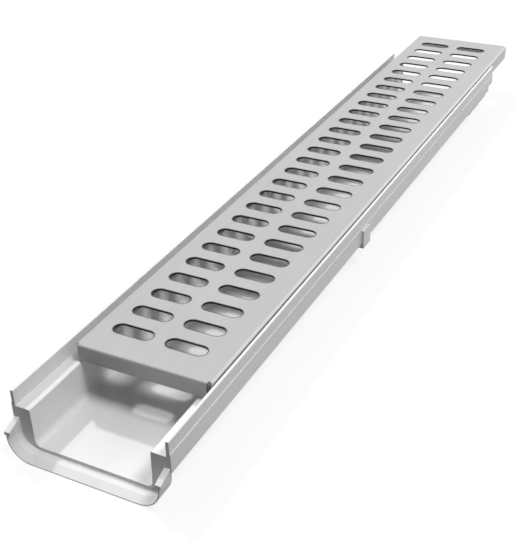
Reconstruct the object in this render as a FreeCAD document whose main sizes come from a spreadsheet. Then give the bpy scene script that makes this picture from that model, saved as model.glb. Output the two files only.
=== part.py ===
import FreeCAD, Part
import math
import os

import Sketcher
from FreeCAD import Placement, Rotation, Vector

# Channel drain: a white moulded channel and a folded sheet grate that rests on its ledges.
# X runs along the channel, near (collar) end at -X, far (spigot) end at +X. Z is up.
# The origin is the middle of the underside, midway between the collar's mouth and the far end
# of the grate, which is slid back along the ledges and stands out past the spigot.
# Sizes are in millimetres. "half" is a distance from the channel's middle plane.

doc = FreeCAD.newDocument("channel_drain")
dims = doc.addObject("Spreadsheet::Sheet", "Dims")

SIZES = [
    ("total_length", 600.0),
    # heights, from the feet up
    ("foot_height", 2.6),
    ("floor_thick", 2.0),
    ("gutter_depth", 24.4),
    ("ledge_thick", 2.0),
    ("rim_height", 10.0),
    # rims, step on their outer face and skirts
    ("rim_half", 50.0),
    ("rim_thick", 2.5),
    ("step_depth", 0.5),
    ("step_drop", 8.0),
    ("skirt_thick", 2.0),
    ("skirt_hang", 8.0),
    # ledges that carry the grate, and gutter
    ("ledge_width", 9.4),
    ("gutter_draft", 0.5),
    ("gutter_wall", 2.0),
    ("bore_radius", 4.0),
    ("gutter_radius", 6.0),
    # softened edges of rims and ledges
    ("rim_round", 0.5),
    ("ledge_round", 0.8),
    # near end: closing wall and collar
    ("end_wall", 2.4),
    ("collar_length", 10.0),
    ("collar_wall", 2.4),
    ("collar_fit", 0.3),
    ("collar_radius", 11.6),
    ("lead_depth", 5.0),
    ("lead_rise", 1.7),
    ("lip_stand", 1.1),
    ("lip_thick", 2.2),
    ("arm_rise", 2.6),
    ("arm_fall", 3.6),
    # far end: spigot and the notches that clear the next collar's arms
    ("spigot_length", 46.0),
    ("spigot_wall", 2.0),
    ("spigot_gap", 3.4),
    ("spigot_radius", 11.2),
    ("web_thick", 2.4),
    ("notch_play", 1.0),
    ("arm_clear", 1.4),
    # how far added walls reach into the ones they join
    ("overlap", 0.5),
    # foot under the spigot's web
    ("foot_inset", 3.6),
    # lugs on the skirts
    ("lug_position", 264.0),
    ("lug_width", 12.4),
    ("lug_stand", 1.8),
    ("lug_hang", 3.0),
    ("lug_height", 13.6),
    # grate: play between the rims, and what is left of it on the right
    ("grate_length", 600.0),
    ("grate_play", 6.2),
    ("grate_side", 0.6),
    ("grate_height", 11.5),
    ("flange_lift", 1.5),
    ("sheet", 1.2),
    ("bend_outer", 2.0),
    ("bend_inner", 0.8),
    ("corner_gap", 2.6),
    ("grate_start", 48.0),
    # slots
    ("slot_rows", 27.0),
    ("slot_margin", 25.0),
    ("slot_length", 26.3),
    ("slot_width", 9.8),
    ("slot_column", 17.7),
    ("slot_shift", 2.4),
]
for row, (alias, value) in enumerate(SIZES, start=1):
    dims.set("A%d" % row, alias)
    dims.set("B%d" % row, "%g" % value)
    dims.setAlias("B%d" % row, alias)
doc.recompute()


class Size:
    """A length that carries its number and the sheet expression it comes from."""

    def __init__(self, value, text):
        self.value = value
        self.text = text

    def _other(self, other):
        if isinstance(other, Size):
            return other
        return Size(float(other), "%g" % other)

    def __add__(self, other):
        o = self._other(other)
        return Size(self.value + o.value, "(%s + %s)" % (self.text, o.text))

    def __sub__(self, other):
        o = self._other(other)
        return Size(self.value - o.value, "(%s - %s)" % (self.text, o.text))

    def __mul__(self, factor):
        return Size(self.value * factor, "(%s * %g)" % (self.text, factor))

    def __truediv__(self, other):
        o = self._other(other)
        return Size(self.value / o.value, "(%s / %s)" % (self.text, o.text))

    def __neg__(self):
        return Size(-self.value, "(0 - %s)" % self.text)


def cell(alias):
    return Size(float(getattr(dims, alias)), "Dims." + alias)


ZERO = Size(0.0, "0")


def bind(target, prop, length):
    target.setExpression(prop, length.text)


def origin_feature(body, role):
    for feature in body.Origin.OriginFeatures:
        if feature.Role == role:
            return feature
    raise ValueError("no origin feature " + role)


def new_body(name):
    body = doc.addObject("PartDesign::Body", name)
    body.Label = name
    body.Placement = Placement(Vector(0, 0, 0), Rotation())
    return body


def new_sketch(body, name, plane, offset=None):
    sketch = body.newObject("Sketcher::SketchObject", name)
    sketch.AttachmentSupport = [(origin_feature(body, plane), "")]
    sketch.MapMode = "FlatFace"
    if offset is not None:
        sketch.AttachmentOffset = Placement(Vector(0, 0, offset.value), Rotation())
        sketch.setExpression("AttachmentOffset.Base.z", offset.text)
    return sketch


def fix_coordinate(sketch, geo, pos, kind, coord):
    """Pin one sketch point at a distance from the sketch's origin along one axis."""
    if abs(coord.value) < 1e-9:
        axis = -2 if kind == "DistanceX" else -1
        sketch.addConstraint(Sketcher.Constraint("PointOnObject", geo, pos, axis))
    elif coord.value > 0:
        index = sketch.addConstraint(Sketcher.Constraint(kind, -1, 1, geo, pos, coord.value))
        sketch.setExpression("Constraints[%d]" % index, coord.text)
    else:
        index = sketch.addConstraint(Sketcher.Constraint(kind, geo, pos, -1, 1, -coord.value))
        sketch.setExpression("Constraints[%d]" % index, (-coord).text)


def fix_point(sketch, geo, pos, x, y):
    """Pin one sketch point at (x, y) from the sketch's origin, each a Size."""
    fix_coordinate(sketch, geo, pos, "DistanceX", x)
    fix_coordinate(sketch, geo, pos, "DistanceY", y)


def trace(sketch, points):
    """Closed outline through (x, y) points; one with a centre as its third value starts an arc."""
    count = len(points)
    spans = []
    for i, point in enumerate(points):
        after = points[(i + 1) % count]
        a = Vector(point[0].value, point[1].value, 0)
        b = Vector(after[0].value, after[1].value, 0)
        geo = sketch.GeometryCount
        if len(point) == 2:
            sketch.addGeometry(Part.LineSegment(a, b), False)
            spans.append((geo, 1, 2))
            continue
        c = Vector(point[2][0].value, point[2][1].value, 0)
        turns_left = (a - c).cross(b - c).z > 0
        first, last = (a, b) if turns_left else (b, a)
        circle = Part.Circle(c, Vector(0, 0, 1), (a - c).Length)
        sketch.addGeometry(Part.ArcOfCircle(circle, math.atan2(first.y - c.y, first.x - c.x),
                                            math.atan2(last.y - c.y, last.x - c.x)), False)
        spans.append((geo, 1, 2) if turns_left else (geo, 2, 1))
    for i in range(count):
        geo, start, end = spans[i]
        following = spans[(i + 1) % count]
        sketch.addConstraint(Sketcher.Constraint("Coincident", geo, end, following[0], following[1]))
    for i, point in enumerate(points):
        fix_point(sketch, spans[i][0], spans[i][1], point[0], point[1])
        if len(point) == 3:
            fix_coordinate(sketch, spans[i][0], 3, "DistanceX", point[2][0])


def round_u(half, low, radius, height):
    """Points down the right side of a U, round its bottom corners and up its left side."""
    inner = half - radius
    high = low + radius
    return [
        (half, height),
        (half, high, (inner, high)),
        (inner, low),
        (-inner, low, (-inner, high)),
        (-half, high),
        (-half, height),
    ]


def mirrored(points):
    """The same outline on the other side of the sketch's vertical axis."""
    turned = []
    for i in reversed(range(len(points))):
        point = (-points[i][0], points[i][1])
        before = points[i - 1]
        if len(before) == 3:
            point += ((-before[2][0], before[2][1]),)
        turned.append(point)
    return turned


def pad(body, name, sketch, length, midplane=False, reverse=False):
    feature = body.newObject("PartDesign::Pad", name)
    feature.Profile = sketch
    feature.Length = length.value
    bind(feature, "Length", length)
    feature.Midplane = midplane
    feature.Reversed = reverse
    sketch.Visibility = False
    doc.recompute()
    return feature


def pocket(body, name, sketch, length, midplane=True, reverse=False, taper=None):
    before = body.Shape.Volume
    feature = body.newObject("PartDesign::Pocket", name)
    feature.Profile = sketch
    feature.Length = length.value
    bind(feature, "Length", length)
    feature.Midplane = midplane
    feature.Reversed = reverse
    if taper is not None:
        feature.TaperAngle = taper.value
        bind(feature, "TaperAngle", taper)
    sketch.Visibility = False
    doc.recompute()
    removed = before - body.Shape.Volume
    print("%s removes %.1f mm3" % (name, removed))
    if removed < 1.0:
        raise RuntimeError(name + " cut nothing")
    return feature


def edges_along(shape, axis, checks):
    """Names of straight edges along an axis whose middle meets every (axis, value) check."""
    names = []
    for i, edge in enumerate(shape.Edges, start=1):
        if len(edge.Vertexes) != 2:
            continue
        a = edge.Vertexes[0].Point
        b = edge.Vertexes[1].Point
        span = [abs(a.x - b.x), abs(a.y - b.y), abs(a.z - b.z)]
        run = span["xyz".index(axis)]
        if run < 1.0 or sum(span) - run > 1e-3:
            continue
        middle = (a + b) * 0.5
        for group in checks:
            if all(abs(abs(getattr(middle, k)) - v) < 0.02 for k, v in group):
                names.append("Edge%d" % i)
                break
    return names


def fillet(body, name, base, edges, radius):
    if not edges:
        raise RuntimeError(name + " found no edges")
    feature = body.newObject("PartDesign::Fillet", name)
    feature.Base = (base, edges)
    feature.Radius = radius.value
    bind(feature, "Radius", radius)
    doc.recompute()
    return feature


# Derived lengths

half_long = (cell("collar_length") + cell("grate_start") + cell("grate_length")) / 2
near_end = -(half_long - cell("collar_length"))
run = cell("total_length") - cell("collar_length")
far_end = near_end + run

floor_under = cell("foot_height")
floor_top = floor_under + cell("floor_thick")
ledge = floor_top + cell("gutter_depth")
ledge_under = ledge - cell("ledge_thick")
top = ledge + cell("rim_height")
skirt_end = ledge_under - cell("skirt_hang")

rim_out = cell("rim_half")
rim_up = rim_out - cell("step_depth")
rim_in = rim_out - cell("rim_thick")
skirt_in = rim_out - cell("skirt_thick")
bore = rim_in - cell("ledge_width")
bore_low = bore - cell("gutter_draft")
wall = cell("gutter_wall")
foot_half = bore_low - cell("foot_inset")
into = cell("overlap")

# Inner outline of the walls that are joined to the gutter, a little inside its rounded corner
bend_y = bore_low + wall - cell("gutter_radius")
bend_z = floor_under + cell("gutter_radius")
hug = [
    (bore + wall - into, ledge_under + into),
    (bore_low + wall - into, bend_z, (bend_y, bend_z)),
    (bend_y, floor_under + into),
]

# The spigot stands off the gutter, and the collar takes it with a clearance
spigot_in = bore + wall + cell("spigot_gap")
spigot_half = spigot_in + cell("spigot_wall")
collar_in = spigot_half + cell("collar_fit")
collar_half = collar_in + cell("collar_wall")
lip_half = collar_half + cell("lip_stand")
arm_top = skirt_end + cell("arm_rise")
arm_front = arm_top - cell("arm_fall")


# Channel body: rims, ledges, skirts and gutter as one section along the whole run

channel = new_body("channel_body")

section = new_sketch(channel, "SectionSketch", "YZ_Plane", near_end)
right_half = [
    (bore_low, floor_top),
    (bore, ledge),
    (rim_in, ledge),
    (rim_in, top),
    (rim_up, top),
    (rim_up, top - cell("step_drop")),
    (rim_out, top - cell("step_drop")),
    (rim_out, skirt_end),
    (skirt_in, skirt_end),
    (skirt_in, ledge_under),
    (bore + wall, ledge_under),
    (bore_low + wall, floor_under),
]
trace(section, right_half + mirrored(right_half))
channel_run = pad(channel, "ChannelRun", section, run)

inner_corners = edges_along(channel_run.Shape, "x", [
    [("y", bore_low.value), ("z", floor_top.value)]])
bore_round = fillet(channel, "BoreRound", channel_run, inner_corners, cell("bore_radius"))
outer_corners = edges_along(bore_round.Shape, "x", [
    [("y", (bore_low + wall).value), ("z", floor_under.value)]])
gutter_round = fillet(channel, "GutterRound", bore_round, outer_corners, cell("gutter_radius"))

rim_edges = edges_along(gutter_round.Shape, "x", [
    [("y", rim_up.value), ("z", top.value)],
    [("y", rim_in.value), ("z", top.value)]])
rim_soft = fillet(channel, "RimRound", gutter_round, rim_edges, cell("rim_round"))
ledge_edges = edges_along(rim_soft.Shape, "x", [[("y", bore.value), ("z", ledge.value)]])
ledge_soft = fillet(channel, "LedgeRound", rim_soft, ledge_edges, cell("ledge_round"))

# Closing wall at the near end, between the gutter and the skirts, down to the collar's floor

collar_top = floor_under - cell("collar_fit")
collar_floor_radius = cell("collar_radius") + cell("collar_wall")
collar_bend = collar_half - collar_floor_radius
closing = new_sketch(channel, "ClosingSketch", "YZ_Plane", near_end)
closing_right = [
    (collar_bend, ZERO, (collar_bend, collar_floor_radius)),
    (collar_half, collar_floor_radius),
    (collar_half, arm_top),
    (skirt_in, arm_top),
    (skirt_in, ledge_under + into),
] + hug
trace(closing, closing_right + mirrored(closing_right))
closing_wall = pad(channel, "ClosingWall", closing, cell("end_wall"))

# Collar: a U that runs out past the closing wall and takes the next channel's spigot

collar = new_sketch(channel, "CollarSketch", "YZ_Plane", near_end)
trace(collar, round_u(collar_half, ZERO, collar_floor_radius, arm_top))
collar_block = pad(channel, "CollarBlock", collar, cell("collar_length"), reverse=True)
mouth = new_sketch(channel, "MouthSketch", "YZ_Plane", near_end)
trace(mouth, round_u(collar_in, collar_top, cell("collar_radius"), arm_top + 1.0))
mouth_cut = pocket(channel, "CollarMouth", mouth, cell("collar_length"), midplane=False, reverse=False)

# The tops of the collar's two arms fall away towards the mouth

mouth_end = near_end - cell("collar_length")
slope = new_sketch(channel, "ArmSlopeSketch", "XZ_Plane")
trace(slope, [
    (near_end, arm_top),
    (near_end, arm_top + 1.0),
    (mouth_end - 1.0, arm_top + 1.0),
    (mouth_end - 1.0, arm_front),
    (mouth_end, arm_front),
])
arm_slope = pocket(channel, "ArmSlope", slope, collar_half * 2.4)

# Lead-in: the collar's inside opens towards its mouth and leaves a thin front edge

rise = cell("lead_rise")
depth = cell("lead_depth")
lead = new_sketch(channel, "LeadSketch", "YZ_Plane", mouth_end)
trace(lead, round_u(collar_in + rise, collar_top - rise, cell("collar_radius") + rise, arm_top + rise * 3))
narrows = Size(-math.degrees(math.atan(rise.value / depth.value)), "atan(%s / %s)" % ((-rise).text, depth.text))
lead_in = pocket(channel, "LeadIn", lead, depth + into, midplane=False, reverse=True, taper=narrows)

# Lips along the tops of the arms, standing out past them

lip_wide = lip_half - collar_in
for side, outside in (("Left", -lip_half), ("Right", collar_in)):
    lip = new_sketch(channel, "Lip" + side + "Sketch", "XZ_Plane", outside)
    trace(lip, [
        (near_end, arm_top),
        (near_end, arm_top - cell("lip_thick")),
        (mouth_end, arm_front - cell("lip_thick")),
        (mouth_end, arm_front),
    ])
    pad(channel, "Lip" + side, lip, lip_wide)

# Spigot: walls beside the gutter that fit the next channel's collar, hollow from the far end

spigot_start = far_end - cell("spigot_length")
hollow_low = floor_under + cell("spigot_radius")
for side, flip in (("Left", False), ("Right", True)):
    spigot = new_sketch(channel, "Spigot" + side + "Sketch", "YZ_Plane", spigot_start)
    outline = [
        (spigot_half, floor_under),
        (spigot_half, ledge_under + into),
    ] + hug + [
        (bend_y, floor_under),
    ]
    if flip:
        outline = mirrored(outline)
    trace(spigot, outline)
    block = pad(channel, "Spigot" + side, spigot, cell("spigot_length"))
corners = edges_along(block.Shape, "x", [[("y", spigot_half.value), ("z", floor_under.value)]])
fillet(channel, "SpigotRound", block, corners, cell("spigot_radius"))

hollow = new_sketch(channel, "SpigotHollowSketch", "YZ_Plane", far_end)
for flip in (False, True):
    outline = [
        (spigot_in, hollow_low),
        (spigot_in, ledge_under),
        (bore + wall, ledge_under),
        (bore + wall, hollow_low),
    ]
    if flip:
        outline = mirrored(outline)
    trace(hollow, outline)
pocket(channel, "SpigotHollow", hollow, cell("spigot_length") - cell("web_thick"), midplane=False)

# Web at the spigot's near side, joined to the skirts, with a foot down to the ground

web = new_sketch(channel, "WebSketch", "YZ_Plane", spigot_start)
web_right = [
    (foot_half, ZERO),
    (spigot_half - cell("spigot_radius"), floor_under),
    (spigot_half, floor_under + cell("spigot_radius")),
    (spigot_half, skirt_end),
    (skirt_in + into, skirt_end),
    (skirt_in + into, ledge_under + into),
] + hug
trace(web, web_right + mirrored(web_right))
pad(channel, "SpigotWeb", web, cell("web_thick"))

# Notches in the skirts at the far end, which clear the arms of the next channel's collar

notch = new_sketch(channel, "NotchSketch", "YZ_Plane", far_end)
for flip in (False, True):
    outline = [
        (skirt_in - into, skirt_end - 1.0),
        (rim_out + 1.0, skirt_end - 1.0),
        (rim_out + 1.0, arm_top + cell("arm_clear")),
        (skirt_in - into, arm_top + cell("arm_clear")),
    ]
    if flip:
        outline = mirrored(outline)
    trace(notch, outline)
pocket(channel, "SkirtNotches", notch, cell("collar_length") + cell("notch_play"), midplane=False)

# Lugs that stand out from the skirts and hang below them

lug_near = near_end + cell("lug_position") - cell("lug_width") / 2
lug_out = rim_out + cell("lug_stand")
lug_low = skirt_end - cell("lug_hang")
lug_high = lug_low + cell("lug_height")
for side, flip in (("Left", False), ("Right", True)):
    lug = new_sketch(channel, "Lug" + side + "Sketch", "YZ_Plane", lug_near)
    outline = [
        (skirt_in, lug_low),
        (lug_out, lug_low),
        (lug_out, lug_high),
        (rim_out - into, lug_high),
        (rim_out - into, skirt_end + into),
        (skirt_in, skirt_end + into),
    ]
    if flip:
        outline = mirrored(outline)
    trace(lug, outline)
    pad(channel, "Lug" + side, lug, cell("lug_width"))


# Grate: folded tray in its own frame, x from its near end, y from its middle, z from its lower edges

grate = new_body("grate")
bind(grate, "Placement.Base.x", near_end + cell("grate_start"))
bind(grate, "Placement.Base.y", -(cell("grate_play") / 2 - cell("grate_side")))
bind(grate, "Placement.Base.z", ledge)
doc.recompute()

half_wide = rim_in - cell("grate_play") / 2
tall = cell("grate_height")
long = cell("grate_length")
sheet = cell("sheet")
gap = cell("corner_gap")

sides = new_sketch(grate, "SidesSketch", "YZ_Plane", gap)
sides_right = [
    (half_wide - sheet, tall - sheet),
    (half_wide - sheet, ZERO),
    (half_wide, ZERO),
    (half_wide, tall),
]
trace(sides, sides_right + mirrored(sides_right))
tray = pad(grate, "SideFolds", sides, long - gap * 2)

ends = new_sketch(grate, "EndsSketch", "XZ_Plane")
hang = cell("flange_lift")
trace(ends, [
    (ZERO, hang),
    (sheet, hang),
    (sheet, tall - sheet),
    (long - sheet, tall - sheet),
    (long - sheet, hang),
    (long, hang),
    (long, tall),
    (ZERO, tall),
])
folded = pad(grate, "EndFolds", ends, half_wide * 2 - gap * 2, midplane=True)

outer_bends = edges_along(folded.Shape, "x", [[("y", half_wide.value), ("z", tall.value)]])
outer_bends += edges_along(folded.Shape, "y", [
    [("x", 0.0), ("z", tall.value)],
    [("x", long.value), ("z", tall.value)]])
bends = fillet(grate, "OuterBends", folded, outer_bends, cell("bend_outer"))
inner_bends = edges_along(bends.Shape, "x", [[("y", (half_wide - sheet).value), ("z", (tall - sheet).value)]])
inner_bends += edges_along(bends.Shape, "y", [
    [("x", sheet.value), ("z", (tall - sheet).value)],
    [("x", (long - sheet).value), ("z", (tall - sheet).value)]])
bends_in = fillet(grate, "InnerBends", bends, inner_bends, cell("bend_inner"))


def slot(sketch, x, y, length, width):
    """Round-ended slot across the grate, centred on (x, y)."""
    first = sketch.GeometryCount
    r = width / 2
    low = y - length / 2 + r
    high = y + length / 2 - r
    sketch.addGeometry(Part.LineSegment(Vector((x + r).value, low.value, 0),
                                        Vector((x + r).value, high.value, 0)), False)
    circle = Part.Circle(Vector(x.value, high.value, 0), Vector(0, 0, 1), r.value)
    sketch.addGeometry(Part.ArcOfCircle(circle, 0.0, 3.141592653589793), False)
    sketch.addGeometry(Part.LineSegment(Vector((x - r).value, high.value, 0),
                                        Vector((x - r).value, low.value, 0)), False)
    circle = Part.Circle(Vector(x.value, low.value, 0), Vector(0, 0, 1), r.value)
    sketch.addGeometry(Part.ArcOfCircle(circle, 3.141592653589793, 6.283185307179586), False)
    sketch.addConstraint(Sketcher.Constraint("Coincident", first, 2, first + 1, 1))
    sketch.addConstraint(Sketcher.Constraint("Coincident", first + 1, 2, first + 2, 1))
    sketch.addConstraint(Sketcher.Constraint("Coincident", first + 2, 2, first + 3, 1))
    sketch.addConstraint(Sketcher.Constraint("Coincident", first + 3, 2, first, 1))
    fix_point(sketch, first, 1, x + r, low)
    fix_point(sketch, first, 2, x + r, high)
    fix_point(sketch, first + 2, 1, x - r, high)
    fix_point(sketch, first + 2, 2, x - r, low)
    for arc, middle in ((first + 1, high), (first + 3, low)):
        if middle.value > 0:
            index = sketch.addConstraint(Sketcher.Constraint("DistanceY", -1, 1, arc, 3, middle.value))
            sketch.setExpression("Constraints[%d]" % index, middle.text)
        else:
            index = sketch.addConstraint(Sketcher.Constraint("DistanceY", arc, 3, -1, 1, -middle.value))
            sketch.setExpression("Constraints[%d]" % index, (-middle).text)


slots = new_sketch(grate, "SlotSketch", "XY_Plane", tall)
for column in (cell("slot_column"), -cell("slot_column")):
    slot(slots, cell("slot_margin"), column + cell("slot_shift"), cell("slot_length"), cell("slot_width"))
first_row = pocket(grate, "SlotRow", slots, sheet + 1.0, midplane=False)

rows = grate.newObject("PartDesign::LinearPattern", "SlotRows")
rows.Originals = [first_row]
rows.Direction = (slots, ["H_Axis"])
rows.Length = (long - cell("slot_margin") * 2).value
bind(rows, "Length", long - cell("slot_margin") * 2)
rows.Occurrences = int(cell("slot_rows").value)
rows.setExpression("Occurrences", "Dims.slot_rows")
grate.Tip = rows

doc.recompute()
pieces = [channel, grate]
for obj in doc.Objects:
    if "Invalid" in obj.State or "Error" in obj.State:
        raise RuntimeError("%s failed: %s" % (obj.Name, obj.State))
for piece in pieces:
    shape = piece.Shape
    if shape.isNull() or not shape.isValid() or len(shape.Solids) != 1:
        raise RuntimeError(piece.Label + " is not one valid solid")
    print(piece.Label, "volume %.0f mm3" % shape.Volume, shape.BoundBox)

os.makedirs("parts", exist_ok=True)
for piece in pieces:
    piece.Shape.exportStep("parts/%s.step" % piece.Label)
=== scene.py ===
import math

import bpy
from mathutils import Matrix, Vector


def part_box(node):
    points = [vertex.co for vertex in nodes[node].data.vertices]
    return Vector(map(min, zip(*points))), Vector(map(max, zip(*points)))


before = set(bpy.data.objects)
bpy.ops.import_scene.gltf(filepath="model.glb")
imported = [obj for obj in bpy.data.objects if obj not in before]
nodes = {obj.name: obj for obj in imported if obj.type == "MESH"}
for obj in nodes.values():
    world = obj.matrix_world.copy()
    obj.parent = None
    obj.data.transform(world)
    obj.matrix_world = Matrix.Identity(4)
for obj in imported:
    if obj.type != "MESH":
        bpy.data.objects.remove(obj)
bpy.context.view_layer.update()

# Camera: the photograph's viewpoint, framing and tilt, with focal length and centre in its pixels
FRAME_W = 516
FRAME_H = 542
FOCAL = 1003.66
CENTRE = (238.37, 276.35)
AZIMUTH = 0.4994
ELEVATION = 0.546
ROLL = 0.0351
POSITION = Vector((-0.63633, -0.26532, 0.36591))
SENSOR = 36.0
NEAREST = 0.01
FARTHEST = 50.0

# Slots of the grate, in metres, and the rolled edge that the punch leaves round each of them, which painted
# shade darkens
SLOT_ROWS = 27
SLOT_MARGIN = 0.025
SLOT_LENGTH = 0.0263
SLOT_WIDTH = 0.0098
SLOT_COLUMN = 0.0177
SLOT_SHIFT = 0.0024
EDGE_FLAT = 0.0001
EDGE_ROLL = 0.0009

# Where the bends into the grate's end flanges start and end, in from the flange's outer face
BEND_START = 0.0016
BEND_END = 0.0002

# Tones and roughness of the materials, each from its lowest to its highest
UNIT = (0.0, 1.0)
RAMP = (0.3, 0.7)
WHITE = (1.0, 1.0, 1.0, 1)
PVC_TONES = ((0.75, 0.75, 0.745, 1), (0.80, 0.80, 0.795, 1))
PVC_ROUGHNESS = (0.26, 0.40)
STEEL_TONES = ((0.46, 0.46, 0.455, 1), (0.54, 0.54, 0.535, 1))
STEEL_ROUGHNESS = (0.38, 0.54)
CLOUD_SHARE = 0.35
# Painted shade: the darker tone of the grate's end flanges
PAINTED_FLANGE_SHADE = (0.26, 0.26, 0.26, 1)
# Painted shade: the near-black tone of the slot walls and the band round each slot
PAINTED_SLOT_SHADE = (0.05, 0.05, 0.05, 1)

# Ground: half its side, its depth under the channel, and what it sends back along the channel
FLOOR_HALF = 6.0
FLOOR_DROP = 0.0003
GROUND_ALONG = (-0.40, -0.26)
GROUND_TONES = (0.03, 0.27)
MIRRORED_SHARE = 0.6
GLOW_SHARE = 0.84

# Patches of sky: the way to the patch, the leans towards it where it starts and peaks, and its levels
LIGHTING_SKY = (((0.92, 0.0, 0.40), (-0.5, 0.8), (0.05, 0.38)),
                ((0.45, 0.89, 0.0), (0.1, 1.0), (0.0, 1.0)))
MIRRORED_SKY = (((0.58, 0.52, 0.63), (0.3, 0.95), (0.75, 1.24)),
                ((0.75, -0.52, 0.41), (0.72, 0.98), (0.0, 0.9)))

# Lamps: the way to the lamp, its energy and its spread in degrees
LAMPS = {"overhead": ((0.0, -0.47, 0.883), 1.80, 18.0),
         "key": ((0.453, 0.495, 0.742), 1.38, 3.0)}


def add_camera():
    forward = Vector((math.cos(ELEVATION) * math.cos(AZIMUTH),
                      math.cos(ELEVATION) * math.sin(AZIMUTH),
                      -math.sin(ELEVATION)))
    level = forward.cross(Vector((0, 0, 1))).normalized()
    plumb = forward.cross(level)
    right = level * math.cos(ROLL) + plumb * math.sin(ROLL)
    down = plumb * math.cos(ROLL) - level * math.sin(ROLL)
    data = bpy.data.cameras.new("camera")
    data.sensor_fit = "HORIZONTAL"
    data.sensor_width = SENSOR
    data.lens = FOCAL * SENSOR / FRAME_W
    data.shift_x = (FRAME_W / 2 - CENTRE[0]) / FRAME_W
    data.shift_y = (CENTRE[1] - FRAME_H / 2) / FRAME_W
    data.clip_start = NEAREST
    data.clip_end = FARTHEST
    camera = bpy.data.objects.new("camera", data)
    bpy.context.scene.collection.objects.link(camera)
    turn = Matrix((right, -down, -forward)).transposed()
    camera.matrix_world = Matrix.Translation(POSITION) @ turn.to_4x4()
    bpy.context.scene.camera = camera


def new_material(name):
    material = bpy.data.materials.new(name)
    material.use_nodes = True
    tree = material.node_tree
    tree.nodes.clear()
    return material, tree, tree.nodes.new("ShaderNodeOutputMaterial")


def feed(tree, socket, value):
    """Give a socket another node's output, or a plain number, colour or direction."""
    if isinstance(value, bpy.types.NodeSocket):
        tree.links.new(value, socket)
    else:
        socket.default_value = value


def node(tree, kind, **inputs):
    made = tree.nodes.new(kind)
    for name, value in inputs.items():
        feed(tree, made.inputs[name.replace("_", " ")], value)
    return made


def maths(tree, operation, *values):
    made = tree.nodes.new("ShaderNodeMath")
    made.operation = operation
    for socket, value in zip(made.inputs, values):
        feed(tree, socket, value)
    return made.outputs["Value"]


def mixed(tree, kind, factor, first, second):
    made = tree.nodes.new("ShaderNodeMix")
    made.data_type = kind
    for name, value in (("Factor", factor), ("A", first), ("B", second)):
        feed(tree, made.inputs[name], value)
    return made.outputs["Result"]


def mixed_shaders(tree, factor, first, second):
    made = tree.nodes.new("ShaderNodeMixShader")
    for socket, value in zip(made.inputs, (factor, first, second)):
        feed(tree, socket, value)
    return made.outputs["Shader"]


def ranged(tree, value, start, end, smooth=False):
    """Carry a value from one range to another, held at that range's ends."""
    made = tree.nodes.new("ShaderNodeMapRange")
    if smooth:
        made.interpolation_type = "SMOOTHSTEP"
    names = ("Value", "From Min", "From Max", "To Min", "To Max")
    for name, given in zip(names, (value, *start, *end)):
        feed(tree, made.inputs[name], given)
    return made.outputs["Result"]


def ramp(tree, value, tones):
    made = node(tree, "ShaderNodeValToRGB", Fac=value)
    for element, position, tone in zip(made.color_ramp.elements, RAMP, tones):
        element.position = position
        element.color = tone
    return made.outputs["Color"]


def object_place(tree):
    return node(tree, "ShaderNodeTexCoord").outputs["Object"]


def stretched(tree, place, scale):
    return node(tree, "ShaderNodeMapping", Vector=place, Scale=scale).outputs["Vector"]


def noise(tree, place, scale, detail, roughness):
    made = node(tree, "ShaderNodeTexNoise", Vector=place, Scale=scale, Detail=detail, Roughness=roughness)
    return made.outputs["Fac"]


def relief(tree, height, strength, distance):
    made = node(tree, "ShaderNodeBump", Height=height, Strength=strength, Distance=distance)
    return made.outputs["Normal"]


def white_plastic():
    """Moulded white PVC: smooth and a little glossy, with faint flow marks and mottling."""
    material, tree, out = new_material("white_pvc")
    place = object_place(tree)
    flow = noise(tree, stretched(tree, place, (4.0, 30.0, 30.0)), 1.4, 3.0, 0.5)
    grain = noise(tree, place, 900.0, 2.0, 0.5)
    shader = node(tree, "ShaderNodeBsdfPrincipled", IOR=1.5,
                  Base_Color=ramp(tree, flow, PVC_TONES),
                  Roughness=ranged(tree, flow, UNIT, PVC_ROUGHNESS),
                  Normal=relief(tree, grain, 0.04, 0.0004))
    feed(tree, out.inputs["Surface"], shader.outputs["BSDF"])
    return material


def punched_edge_shade(tree, place):
    """Mask of the painted shade round the slots: 1 on the cut walls of the slots, falling to 0 over a narrow
    rolled edge round each slot.
    """
    low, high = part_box("grate")
    centre = (low + high) / 2
    half_rows = (high - low)[0] / 2 - SLOT_MARGIN
    pitch = 2 * half_rows / (SLOT_ROWS - 1)
    axes = node(tree, "ShaderNodeSeparateXYZ", Vector=place)
    along = axes.outputs["X"]
    from_row = maths(tree, "PINGPONG", maths(tree, "SUBTRACT", along, low[0] + SLOT_MARGIN), pitch / 2)
    aside = maths(tree, "ABSOLUTE", maths(tree, "SUBTRACT", axes.outputs["Y"], centre[1] + SLOT_SHIFT))
    aside = maths(tree, "ABSOLUTE", maths(tree, "SUBTRACT", aside, SLOT_COLUMN))
    past_straight = maths(tree, "SUBTRACT", aside, (SLOT_LENGTH - SLOT_WIDTH) / 2)
    past_straight = maths(tree, "MAXIMUM", past_straight, 0.0)
    from_middle = maths(tree, "SQRT", maths(tree, "ADD",
                                            maths(tree, "MULTIPLY", from_row, from_row),
                                            maths(tree, "MULTIPLY", past_straight, past_straight)))
    rim = SLOT_WIDTH / 2
    edge = ranged(tree, from_middle, (rim + EDGE_FLAT, rim + EDGE_ROLL), (1.0, 0.0))
    in_rows = maths(tree, "COMPARE", along, centre[0], half_rows + rim + EDGE_ROLL)
    return maths(tree, "MULTIPLY", edge, in_rows)


def end_flange_shade(tree, place):
    """Mask of the painted shade on the end flanges: 0 on the top of the sheet, rising to 1 round the bends
    into its two end flanges.
    """
    low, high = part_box("grate")
    half = (high[0] - low[0]) / 2
    axes = node(tree, "ShaderNodeSeparateXYZ", Vector=place)
    from_middle = maths(tree, "SUBTRACT", axes.outputs["X"], (low[0] + high[0]) / 2)
    from_middle = maths(tree, "ABSOLUTE", from_middle)
    return ranged(tree, from_middle, (half - BEND_START, half - BEND_END), UNIT, smooth=True)


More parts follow.
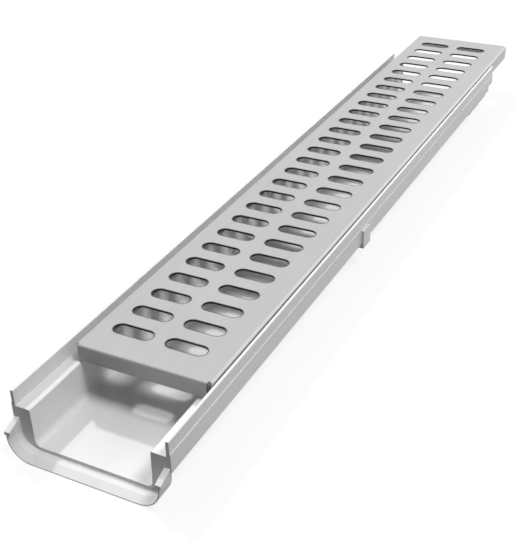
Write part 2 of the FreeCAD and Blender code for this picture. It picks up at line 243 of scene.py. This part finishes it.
def stainless():
    """Satin stainless sheet: fine grain along the grate, painted shade darkening the end flanges,
    and near-black painted shade on the slot walls and a narrow band round each slot."""
    material, tree, out = new_material("satin_stainless")
    place = object_place(tree)
    grain = noise(tree, stretched(tree, place, (14.0, 900.0, 900.0)), 1.0, 4.0, 0.6)
    cloud = noise(tree, place, 14.0, 2.0, 0.5)
    blend = mixed(tree, "FLOAT", CLOUD_SHARE, grain, cloud)
    colour = ramp(tree, blend, STEEL_TONES)
    # Painted shade darkens the end flanges
    colour = mixed(tree, "RGBA", end_flange_shade(tree, place), colour, PAINTED_FLANGE_SHADE)
    # Painted shade turns the slot walls and the band round each slot near black
    colour = mixed(tree, "RGBA", punched_edge_shade(tree, place), colour, PAINTED_SLOT_SHADE)
    shader = node(tree, "ShaderNodeBsdfPrincipled", Metallic=1.0,
                  Base_Color=colour,
                  Roughness=ranged(tree, blend, UNIT, STEEL_ROUGHNESS),
                  Normal=relief(tree, grain, 0.05, 0.0002))
    feed(tree, out.inputs["Surface"], shader.outputs["BSDF"])
    return material


def dress(name, material):
    """Give the material to every slot of a node, or a first slot where it has none."""
    if not nodes[name].material_slots:
        nodes[name].data.materials.append(material)
    for slot in nodes[name].material_slots:
        slot.material = material


def ground_tone(tree):
    """How much light the ground sends back: little in front of the near end, more elsewhere."""
    place = node(tree, "ShaderNodeNewGeometry").outputs["Position"]
    axes = node(tree, "ShaderNodeSeparateXYZ", Vector=place)
    return ranged(tree, axes.outputs["X"], GROUND_ALONG, GROUND_TONES, smooth=True)


def add_floor():
    """Pale ground that shows white to the camera and keeps the shadow of the channel."""
    mesh = bpy.data.meshes.new("floor")
    corners = [(x * FLOOR_HALF, y * FLOOR_HALF, 0) for x, y in ((-1, -1), (1, -1), (1, 1), (-1, 1))]
    mesh.from_pydata(corners, [], [(0, 1, 2, 3)])
    floor = bpy.data.objects.new("floor", mesh)
    floor.location = (0, 0, -FLOOR_DROP)
    bpy.context.scene.collection.objects.link(floor)
    material, tree, out = new_material("pale_floor")
    rays = node(tree, "ShaderNodeLightPath").outputs
    seen = maths(tree, "MULTIPLY_ADD", rays["Is Glossy Ray"], MIRRORED_SHARE, rays["Is Camera Ray"])
    colour = mixed(tree, "RGBA", seen, ground_tone(tree), WHITE)
    matte = node(tree, "ShaderNodeBsdfDiffuse", Color=colour)
    glow = node(tree, "ShaderNodeEmission", Strength=1.0)
    share = maths(tree, "MULTIPLY", seen, GLOW_SHARE)
    ground = mixed_shaders(tree, share, matte.outputs["BSDF"], glow.outputs["Emission"])
    feed(tree, out.inputs["Surface"], ground)
    mesh.materials.append(material)


def sky_patch(tree, way, towards, leans, levels):
    """Brightness that rises with the direction's share along one axis of the sky."""
    lean = tree.nodes.new("ShaderNodeVectorMath")
    lean.operation = "DOT_PRODUCT"
    feed(tree, lean.inputs[0], way)
    feed(tree, lean.inputs[1], Vector(towards).normalized())
    return ranged(tree, lean.outputs["Value"], leans, levels, smooth=True)


def add_world():
    """White behind the object. Its light comes from above and from the sides away from the near end."""
    world = bpy.data.worlds.new("studio")
    world.use_nodes = True
    bpy.context.scene.world = world
    tree = world.node_tree
    tree.nodes.clear()
    out = tree.nodes.new("ShaderNodeOutputWorld")
    way = node(tree, "ShaderNodeTexCoord").outputs["Generated"]
    rays = node(tree, "ShaderNodeLightPath").outputs
    lighting, mirrored = (maths(tree, "ADD", *(sky_patch(tree, way, *patch) for patch in patches))
                          for patches in (LIGHTING_SKY, MIRRORED_SKY))
    level = mixed(tree, "FLOAT", rays["Is Glossy Ray"], lighting, mirrored)
    soft = node(tree, "ShaderNodeBackground", Color=level, Strength=1.0)
    white = node(tree, "ShaderNodeBackground", Color=WHITE, Strength=1.0)
    sky = mixed_shaders(tree, rays["Is Camera Ray"], soft.outputs["Background"], white.outputs["Background"])
    feed(tree, out.inputs["Surface"], sky)


def add_lamps():
    """Broad light overhead, and a key from behind on the left that shines in through the slots."""
    for name, (towards, energy, spread) in LAMPS.items():
        data = bpy.data.lights.new(name, "SUN")
        data.energy = energy
        data.angle = math.radians(spread)
        sun = bpy.data.objects.new(name, data)
        sun.rotation_euler = (-Vector(towards)).to_track_quat("-Z", "Y").to_euler()
        sun.visible_glossy = False
        bpy.context.scene.collection.objects.link(sun)


dress("channel_body", white_plastic())
dress("grate", stainless())
add_camera()
add_floor()
add_world()
add_lamps()

bpy.context.scene.view_settings.view_transform = "Standard"
